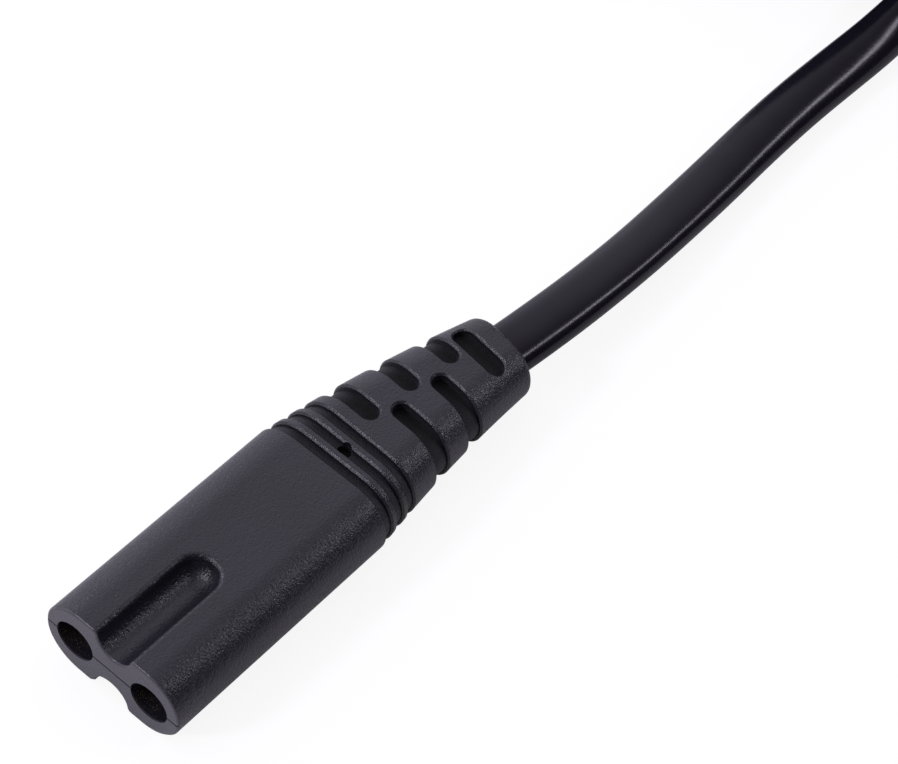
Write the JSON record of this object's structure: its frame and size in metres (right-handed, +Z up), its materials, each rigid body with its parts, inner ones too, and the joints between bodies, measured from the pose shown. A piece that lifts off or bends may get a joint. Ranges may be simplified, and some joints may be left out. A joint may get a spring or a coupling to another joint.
{
  "type": "figure eight power connector",
  "caption": "Figure eight power connector with key grooves and a slotted strain relief, on a flat mains lead tied in a hank, with a flat plug at its far end.",
  "frame": {"origin": "middle of the connector's length and width, on its underside", "axes": "+Y from the mating face to the cord, +Z up from the underside to the top with the gate dimple, +X to the right when looking along +Y"},
  "size_m": [0.0501, 0.2881, 0.0242],
  "materials": {
    "body_pvc": "matte, fine grain",
    "cord_pvc": "satin",
    "insert": "matte",
    "tie": "satin",
    "contact_brass": "bright",
    "strand_copper": "bright",
    "core_blue": "satin",
    "core_brown": "satin",
    "pin_nickel": "nickel plated"
  },
  "bodies": {
    "root": {"connector_body": "body_pvc", "contact_carrier": "insert", "contact_left": "contact_brass", "contact_right": "contact_brass", "core_left": "core_blue", "core_right": "core_brown", "strand_left": "strand_copper", "strand_right": "strand_copper", "cord_lead": "cord_pvc", "cord_hank": "cord_pvc", "hank_tie": "tie", "cord_tail": "cord_pvc", "plug_body": "body_pvc", "plug_bridge": "insert", "plug_pin_left": "pin_nickel", "plug_pin_right": "pin_nickel", "pin_sleeve_left": "insert", "pin_sleeve_right": "insert", "plug_core_left": "core_blue", "plug_core_right": "core_brown", "plug_strand_left": "strand_copper", "plug_strand_right": "strand_copper"}
  },
  "joints": []
}
